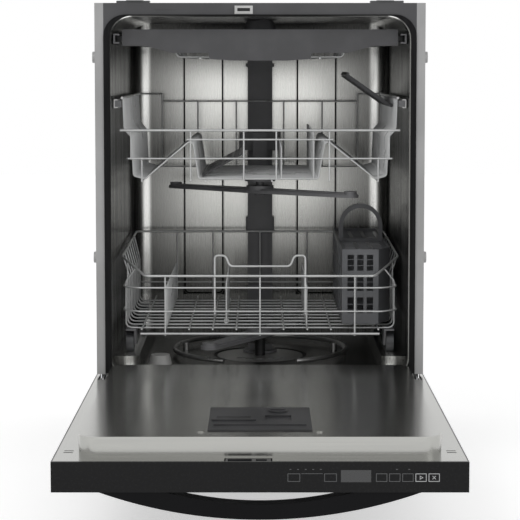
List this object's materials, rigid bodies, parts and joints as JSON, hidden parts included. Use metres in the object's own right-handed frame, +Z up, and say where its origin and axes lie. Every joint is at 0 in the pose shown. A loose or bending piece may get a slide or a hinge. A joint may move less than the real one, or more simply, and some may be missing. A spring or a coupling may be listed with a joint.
{
  "type": "built-in dishwasher",
  "caption": "Built-in dishwasher with its door lowered: steel tub, wire racks, spray arms, silverware basket and a bowed handle.",
  "frame": {"origin": "on the floor under the centre of the whole box with the door lowered and the racks home", "axes": "+Z up, -Y out of the front towards the user, +X to the right seen from the front"},
  "size_m": [0.61, 1.2743, 0.87],
  "materials": {
    "stainless_tub": "brushed, polished in the bends",
    "side_steel": "satin",
    "galvanised_steel": "dull zinc",
    "dark_plastic": "fine satin",
    "black_plastic": "satin",
    "slate_plastic": "satin",
    "white_plastic": "satin",
    "black_gloss": "gloss",
    "smoked_window": "satin",
    "key_print": "gloss",
    "door_seal_rubber": "matt",
    "blanket_felt": "felted",
    "coated_wire": "smooth nylon coat",
    "painted_black_steel": "satin",
    "heater_steel": "bright"
  },
  "bodies": {
    "root": {"tub": "stainless_tub", "insulation_blanket": "blanket_felt", "side_frame": "side_steel", "top_frame": "dark_plastic", "door_gasket": "door_seal_rubber", "base_frame": "galvanised_steel", "levelling_legs": "galvanised_steel", "toe_kick": "painted_black_steel", "worktop_brackets": "galvanised_steel", "hinge_brackets": "galvanised_steel", "latch_strike": "galvanised_steel", "water_column": "dark_plastic", "docking_port": "black_plastic", "ceiling_spray_head": "dark_plastic", "sump": "black_plastic", "filter_plate": "stainless_tub", "heater_element": "heater_steel", "circulation_pump": "black_plastic", "drain_pump": "dark_plastic", "inlet_valve": "white_plastic", "junction_box": "galvanised_steel", "upper_rack_rails": "side_steel", "third_rack_rails": "dark_plastic"},
    "door": {"outer_door_panel": "painted_black_steel", "inner_door_panel": "stainless_tub", "control_console": "black_gloss", "display_window": "smoked_window", "touch_keys": "key_print", "door_handle": "painted_black_steel", "door_latch": "black_plastic", "hinge_arms": "galvanised_steel", "dispenser_body": "dark_plastic"},
    "lower_rack": {"lower_rack_floor": "coated_wire", "lower_rack_tines": "coated_wire", "lower_rack_front": "coated_wire", "lower_rack_back": "coated_wire", "lower_rack_sides": "coated_wire", "wheel_carriers": "dark_plastic", "silverware_basket": "slate_plastic"},
    "upper_rack": {"upper_rack_basket": "coated_wire", "upper_rack_front": "coated_wire", "upper_rack_back": "coated_wire", "upper_rack_runners": "dark_plastic", "spray_manifold": "black_plastic"},
    "third_rack": {"third_rack_panel": "dark_plastic", "third_rack_tray": "coated_wire", "third_rack_runners": "dark_plastic"},
    "dispenser_lid": {"dispenser_lid": "black_plastic"},
    "rinse_aid_cap": {"rinse_aid_cap": "slate_plastic"},
    "front_wheels": {"front_wheels": "dark_plastic"},
    "rear_wheels": {"rear_wheels": "dark_plastic"},
    "lower_tine_row": {"lower_tine_row": "coated_wire"},
    "front_basket_lid": {"front_basket_lid": "slate_plastic"},
    "rear_basket_lid": {"rear_basket_lid": "slate_plastic"},
    "upper_tine_row": {"upper_tine_row": "dark_plastic"},
    "cup_shelf": {"cup_shelf": "slate_plastic"},
    "upper_spray_arm": {"upper_spray_arm": "dark_plastic"},
    "lower_spray_arm": {"lower_spray_arm": "slate_plastic"},
    "filter_cylinder": {"filter_cylinder": "slate_plastic"},
    "overfill_float": {"overfill_float": "white_plastic"}
  },
  "joints": [
    {"name": "door_hinge", "type": "hinge", "parent": "root", "child": "door", "pos_m": [0, 0.0532, 0.172], "axis": [-1, 0, 0], "range_deg": [0, 90]},
    {"name": "detergent_lid_slide", "type": "slide", "parent": "door", "child": "dispenser_lid", "axis": [0, -1, 0], "range_m": [0, 0.058]},
    {"name": "rinse_aid_cap_turn", "type": "hinge", "parent": "door", "child": "rinse_aid_cap", "pos_m": [0.028, -0.4228, 0.212], "axis": [0, 0, 1], "range_deg": [0, 90]},
    {"name": "lower_rack_slide", "type": "slide", "parent": "root", "child": "lower_rack", "axis": [0, 1, 0], "range_m": [-0.62, 0]},
    {"name": "front_wheels_roll", "type": "hinge", "parent": "lower_rack", "child": "front_wheels", "pos_m": [0, 0.1652, 0.2308], "axis": [1, 0, 0], "continuous": true},
    {"name": "rear_wheels_roll", "type": "hinge", "parent": "lower_rack", "child": "rear_wheels", "pos_m": [0, 0.5052, 0.2308], "axis": [1, 0, 0], "continuous": true},
    {"name": "lower_tine_fold", "type": "hinge", "parent": "lower_rack", "child": "lower_tine_row", "pos_m": [-0.064, 0.3442, 0.2659], "axis": [0, -1, 0], "range_deg": [0, 85]},
    {"name": "front_basket_lid_hinge", "type": "hinge", "parent": "lower_rack", "child": "front_basket_lid", "pos_m": [0.1588, 0.2652, 0.4022], "axis": [0, -1, 0], "range_deg": [0, 100]},
    {"name": "rear_basket_lid_hinge", "type": "hinge", "parent": "lower_rack", "child": "rear_basket_lid", "pos_m": [0.1588, 0.4452, 0.4022], "axis": [0, -1, 0], "range_deg": [0, 100]},
    {"name": "upper_rack_slide", "type": "slide", "parent": "root", "child": "upper_rack", "axis": [0, 1, 0], "range_m": [-0.4, 0]},
    {"name": "upper_tine_fold", "type": "hinge", "parent": "upper_rack", "child": "upper_tine_row", "pos_m": [-0.106, 0.3442, 0.5464], "axis": [0, 1, 0], "range_deg": [0, 24]},
    {"name": "cup_shelf_fold", "type": "hinge", "parent": "upper_rack", "child": "cup_shelf", "pos_m": [0.248, 0.3032, 0.676], "axis": [0, 1, 0], "range_deg": [-33, 8]},
    {"name": "upper_spray_arm_spin", "type": "hinge", "parent": "upper_rack", "child": "upper_spray_arm", "pos_m": [0, 0.3442, 0.507], "axis": [0, 0, 1], "continuous": true},
    {"name": "third_rack_slide", "type": "slide", "parent": "root", "child": "third_rack", "axis": [0, 1, 0], "range_m": [-0.4, 0]},
    {"name": "lower_spray_arm_spin", "type": "hinge", "parent": "root", "child": "lower_spray_arm", "pos_m": [0, 0.3442, 0.222], "axis": [0, 0, 1], "continuous": true},
    {"name": "filter_turn", "type": "hinge", "parent": "root", "child": "filter_cylinder", "pos_m": [0, 0.3922, 0.176], "axis": [0, 0, 1], "range_deg": [0, 60]},
    {"name": "float_lift", "type": "slide", "parent": "root", "child": "overfill_float", "axis": [0, 0, 1], "range_m": [0, 0.008]}
  ]
}
